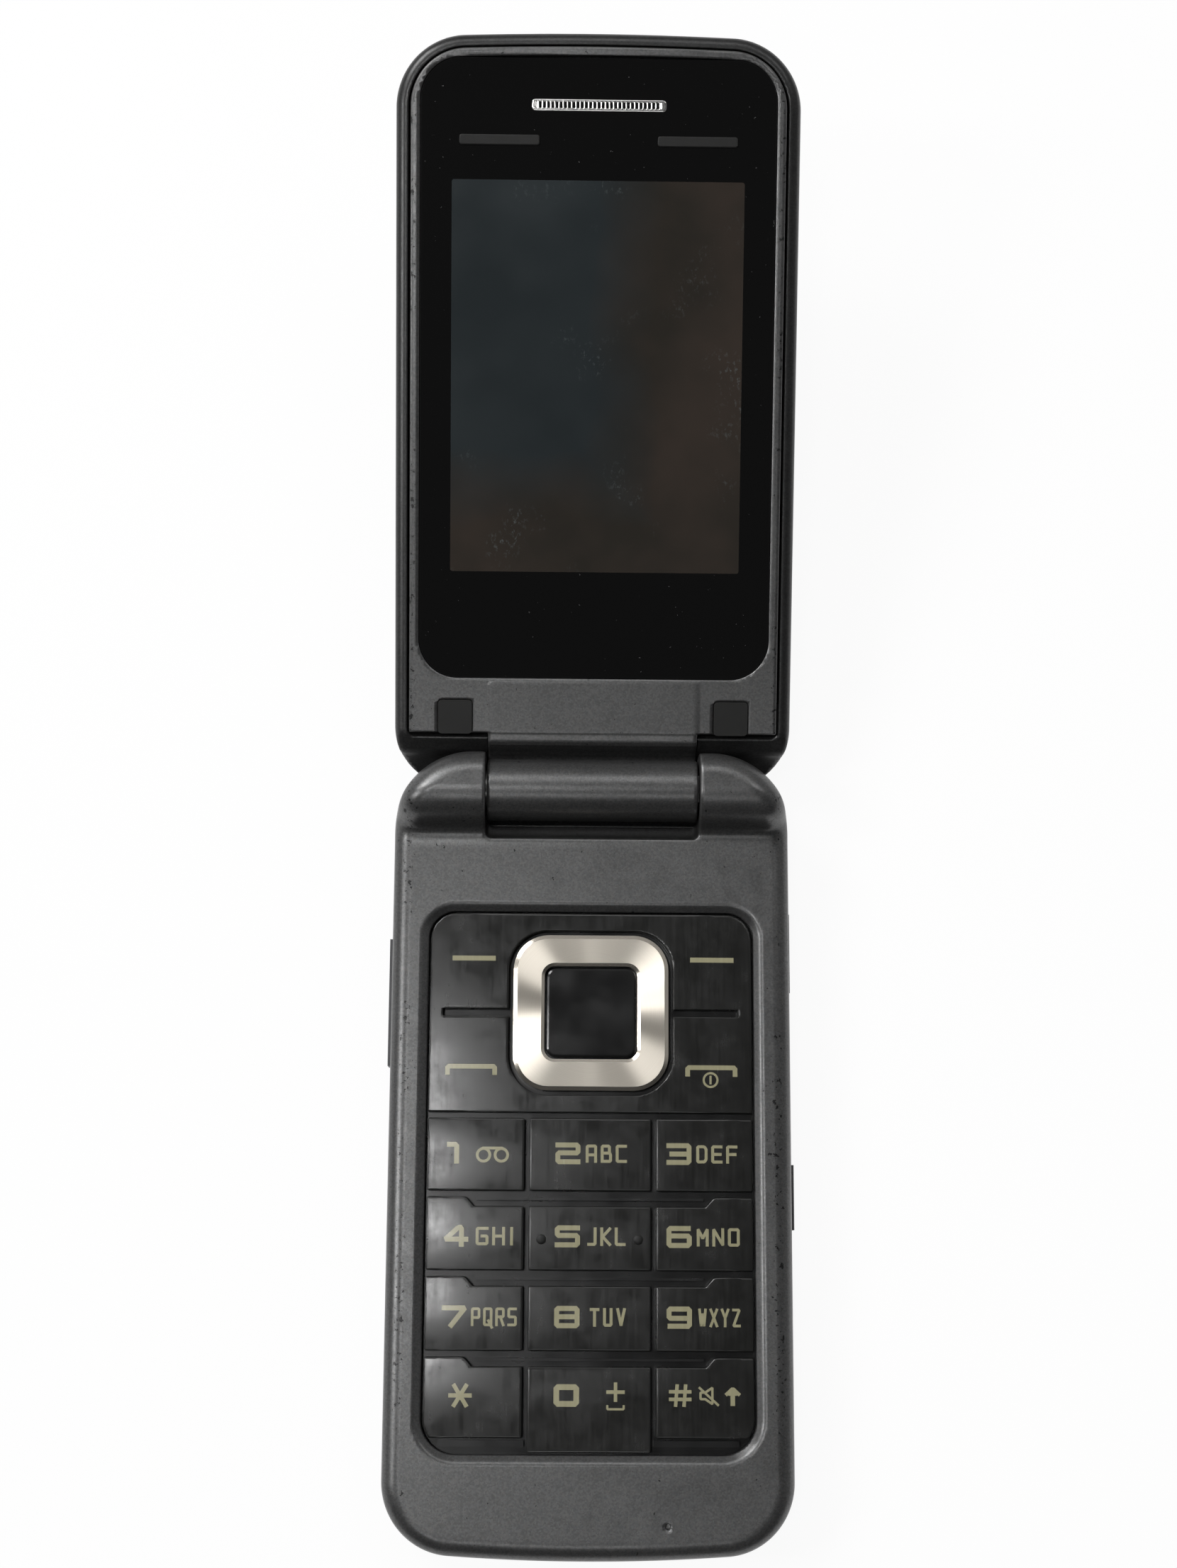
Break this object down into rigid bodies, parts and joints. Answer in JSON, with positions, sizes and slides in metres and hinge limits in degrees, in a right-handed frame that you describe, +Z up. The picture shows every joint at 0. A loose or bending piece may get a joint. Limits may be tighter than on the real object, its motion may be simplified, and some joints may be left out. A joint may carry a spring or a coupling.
{
  "type": "flip phone",
  "caption": "Slim flip phone, open on its back: hinged lid with a display window, base with a flat keypad, navigation ring, side keys and a sliding battery cover.",
  "frame": {"origin": "middle of the base's flat back", "axes": "+X to the keypad's right, +Y from the keypad towards the lid's tip, +Z up out of the keypad; the lid is open at rest"},
  "size_m": [0.051, 0.1859, 0.0364],
  "materials": {
    "housing_paint": "dark grey metallic paint on moulded plastic",
    "cover_paint": "darker grey metallic paint on moulded plastic",
    "gloss_black": "black acrylic, polished",
    "display": "dark display face under the window",
    "key_plastic": "dark satin film over moulded keys",
    "ok_gloss": "dark satin",
    "spun_metal": "brushed outwards from the middle",
    "bright_trim": "bright with fine slots",
    "button_plastic": "satin",
    "rubber": "matte",
    "silicone": "matte",
    "film": "amber film",
    "board": "lacquered",
    "steel": "plain",
    "battery_case": "satin",
    "contacts": "gilt",
    "dark_plastic": "matte",
    "magnet": "plated",
    "legend_print": "printed, olive grey"
  },
  "bodies": {
    "base": {"front_housing": "housing_paint", "rear_housing": "housing_paint", "battery": "battery_case", "battery_contacts": "contacts", "main_board": "board", "shield_can": "steel", "dome_sheet": "film", "keypad_web": "silicone", "microphone": "steel", "loudspeaker": "dark_plastic", "vibration_motor": "steel", "antenna": "dark_plastic", "sim_holder": "steel", "usb_connector": "steel", "side_switches": "button_plastic", "base_screws": "steel", "hinge_shaft": "steel", "hinge_sleeve": "steel", "hinge_flex": "film"},
    "lid": {"lid_inner_frame": "housing_paint", "lid_outer_cover": "cover_paint", "display_window": "gloss_black", "display_module": "display", "lid_board": "board", "earpiece_grille": "bright_trim", "earpiece_speaker": "dark_plastic", "window_bumpers": "rubber", "screw_caps": "rubber", "lid_screws": "steel", "lid_magnet": "magnet", "camera_module": "dark_plastic", "camera_window": "gloss_black", "status_window": "gloss_black", "hinge_case": "steel", "hinge_follower": "steel", "hinge_spring": "steel"},
    "battery_cover": {"battery_cover": "housing_paint"},
    "volume_rocker": {"volume_rocker": "button_plastic"},
    "camera_key": {"camera_key": "button_plastic"},
    "usb_flap": {"usb_flap": "button_plastic"},
    "nav_actuator": {"nav_actuator": "button_plastic"},
    "nav_ring": {"nav_ring": "spun_metal"},
    "key_1": {"key_1": "key_plastic"},
    "key_2": {"key_2": "key_plastic"},
    "key_3": {"key_3": "key_plastic"},
    "key_4": {"key_4": "key_plastic"},
    "key_5": {"key_5": "key_plastic"},
    "key_6": {"key_6": "key_plastic"},
    "key_7": {"key_7": "key_plastic"},
    "key_8": {"key_8": "key_plastic"},
    "key_9": {"key_9": "key_plastic"},
    "key_star": {"key_star": "key_plastic"},
    "key_0": {"key_0": "key_plastic"},
    "key_hash": {"key_hash": "key_plastic"},
    "soft_key_left": {"soft_key_left": "key_plastic"},
    "soft_key_right": {"soft_key_right": "key_plastic"},
    "call_key": {"call_key": "key_plastic"},
    "end_key": {"end_key": "key_plastic"},
    "ok_key": {"ok_key": "ok_gloss"}
  },
  "joints": [
    {"name": "lid_hinge", "type": "hinge", "parent": "base", "child": "lid", "pos_m": [0, 0.0448, 0.0096], "axis": [1, 0, 0], "range_deg": [0, 163], "deforming": ["hinge_flex"]},
    {"name": "key_1_press", "type": "slide", "parent": "base", "child": "key_1", "axis": [0, 0, -1], "range_m": [0, 0.0003], "stiffness_N_per_m": 1000},
    {"name": "key_2_press", "type": "slide", "parent": "base", "child": "key_2", "axis": [0, 0, -1], "range_m": [0, 0.0003], "stiffness_N_per_m": 1000},
    {"name": "key_3_press", "type": "slide", "parent": "base", "child": "key_3", "axis": [0, 0, -1], "range_m": [0, 0.0003], "stiffness_N_per_m": 1000},
    {"name": "key_4_press", "type": "slide", "parent": "base", "child": "key_4", "axis": [0, 0, -1], "range_m": [0, 0.0003], "stiffness_N_per_m": 1000},
    {"name": "key_5_press", "type": "slide", "parent": "base", "child": "key_5", "axis": [0, 0, -1], "range_m": [0, 0.0003], "stiffness_N_per_m": 1000},
    {"name": "key_6_press", "type": "slide", "parent": "base", "child": "key_6", "axis": [0, 0, -1], "range_m": [0, 0.0003], "stiffness_N_per_m": 1000},
    {"name": "key_7_press", "type": "slide", "parent": "base", "child": "key_7", "axis": [0, 0, -1], "range_m": [0, 0.0003], "stiffness_N_per_m": 1000},
    {"name": "key_8_press", "type": "slide", "parent": "base", "child": "key_8", "axis": [0, 0, -1], "range_m": [0, 0.0003], "stiffness_N_per_m": 1000},
    {"name": "key_9_press", "type": "slide", "parent": "base", "child": "key_9", "axis": [0, 0, -1], "range_m": [0, 0.0003], "stiffness_N_per_m": 1000},
    {"name": "key_star_press", "type": "slide", "parent": "base", "child": "key_star", "axis": [0, 0, -1], "range_m": [0, 0.0003], "stiffness_N_per_m": 1000},
    {"name": "key_0_press", "type": "slide", "parent": "base", "child": "key_0", "axis": [0, 0, -1], "range_m": [0, 0.0003], "stiffness_N_per_m": 1000},
    {"name": "key_hash_press", "type": "slide", "parent": "base", "child": "key_hash", "axis": [0, 0, -1], "range_m": [0, 0.0003], "stiffness_N_per_m": 1000},
    {"name": "soft_key_left_press", "type": "slide", "parent": "base", "child": "soft_key_left", "axis": [0, 0, -1], "range_m": [0, 0.0003], "stiffness_N_per_m": 1000},
    {"name": "soft_key_right_press", "type": "slide", "parent": "base", "child": "soft_key_right", "axis": [0, 0, -1], "range_m": [0, 0.0003], "stiffness_N_per_m": 1000},
    {"name": "call_key_press", "type": "slide", "parent": "base", "child": "call_key", "axis": [0, 0, -1], "range_m": [0, 0.0003], "stiffness_N_per_m": 1000},
    {"name": "end_key_press", "type": "slide", "parent": "base", "child": "end_key", "axis": [0, 0, -1], "range_m": [0, 0.0003], "stiffness_N_per_m": 1000},
    {"name": "ok_key_press", "type": "slide", "parent": "base", "child": "ok_key", "axis": [0, 0, -1], "range_m": [0, 0.0003], "stiffness_N_per_m": 1000},
    {"name": "nav_rock_x", "type": "hinge", "parent": "base", "child": "nav_actuator", "pos_m": [0, 0.0166, 0.00777], "axis": [1, 0, 0], "range_deg": [-0.9, 0.9], "stiffness_Nm_per_rad": 0.3},
    {"name": "nav_rock_y", "type": "hinge", "parent": "nav_actuator", "child": "nav_ring", "pos_m": [0, 0.0166, 0.00885], "axis": [0, 1, 0], "range_deg": [-0.9, 0.9], "stiffness_Nm_per_rad": 0.3},
    {"name": "volume_rock", "type": "hinge", "parent": "base", "child": "volume_rocker", "pos_m": [-0.0245, 0.018, 0.005], "axis": [0, 0, 1], "range_deg": [-1.5, 1.5], "stiffness_Nm_per_rad": 0.3},
    {"name": "camera_key_press", "type": "slide", "parent": "base", "child": "camera_key", "axis": [-1, 0, 0], "range_m": [0, 0.0003], "stiffness_N_per_m": 1000},
    {"name": "usb_flap_hinge", "type": "hinge", "parent": "base", "child": "usb_flap", "pos_m": [0.0246, 0.0295, 0.00475], "axis": [0, 0, 1], "range_deg": [0, 90]},
    {"name": "battery_cover_slide", "type": "slide", "parent": "base", "child": "battery_cover", "axis": [0, -1, 0], "range_m": [0, 0.006]}
  ]
}
